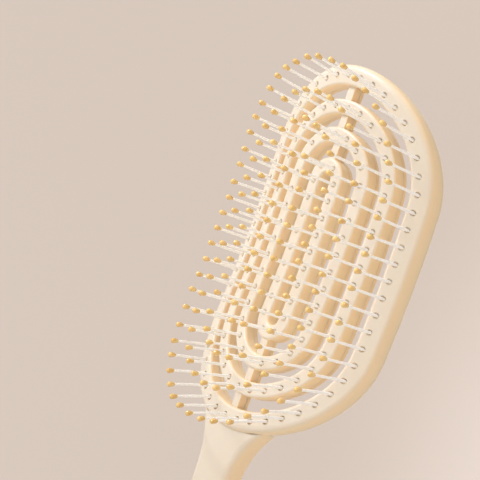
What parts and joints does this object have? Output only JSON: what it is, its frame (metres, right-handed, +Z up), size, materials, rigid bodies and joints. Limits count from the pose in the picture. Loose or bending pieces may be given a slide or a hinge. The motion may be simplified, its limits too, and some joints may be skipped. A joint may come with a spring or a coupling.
{
  "type": "detangling brush",
  "caption": "Vented detangling hairbrush: arched oblong head of open concentric rings with tipped nylon pins, back cover and one-piece handle",
  "frame": {"origin": "middle of the brush's length and width, on the plane that it lies on, pins up", "axes": "+X across the head, +Y from the handle to the head's top, +Z up, the way the pins point"},
  "size_m": [0.076, 0.2399, 0.0376],
  "materials": {
    "ivory_plastic": "smooth satin ivory plastic",
    "clear_nylon": "milky translucent nylon",
    "amber_tip": "glossy amber-gold drop"
  },
  "bodies": {
    "root": {"front_moulding": "ivory_plastic", "back_cover": "ivory_plastic", "rim_pins_left": "clear_nylon", "rim_tips_left": "amber_tip", "rim_pins_right": "clear_nylon", "rim_tips_right": "amber_tip", "rim_pins_top": "clear_nylon", "rim_tips_top": "amber_tip", "rim_pins_foot": "clear_nylon", "rim_tips_foot": "amber_tip", "outer_ring_pins_left": "clear_nylon", "outer_ring_tips_left": "amber_tip", "outer_ring_pins_right": "clear_nylon", "outer_ring_tips_right": "amber_tip", "outer_ring_pins_top": "clear_nylon", "outer_ring_tips_top": "amber_tip", "outer_ring_pins_foot": "clear_nylon", "outer_ring_tips_foot": "amber_tip", "middle_ring_pins_left": "clear_nylon", "middle_ring_tips_left": "amber_tip", "middle_ring_pins_right": "clear_nylon", "middle_ring_tips_right": "amber_tip", "middle_ring_pins_top": "clear_nylon", "middle_ring_tips_top": "amber_tip", "middle_ring_pins_foot": "clear_nylon", "middle_ring_tips_foot": "amber_tip", "core_pins_left": "clear_nylon", "core_tips_left": "amber_tip", "core_pins_right": "clear_nylon", "core_tips_right": "amber_tip", "core_pins_top": "clear_nylon", "core_tips_top": "amber_tip", "core_pins_foot": "clear_nylon", "core_tips_foot": "amber_tip"}
  },
  "joints": []
}
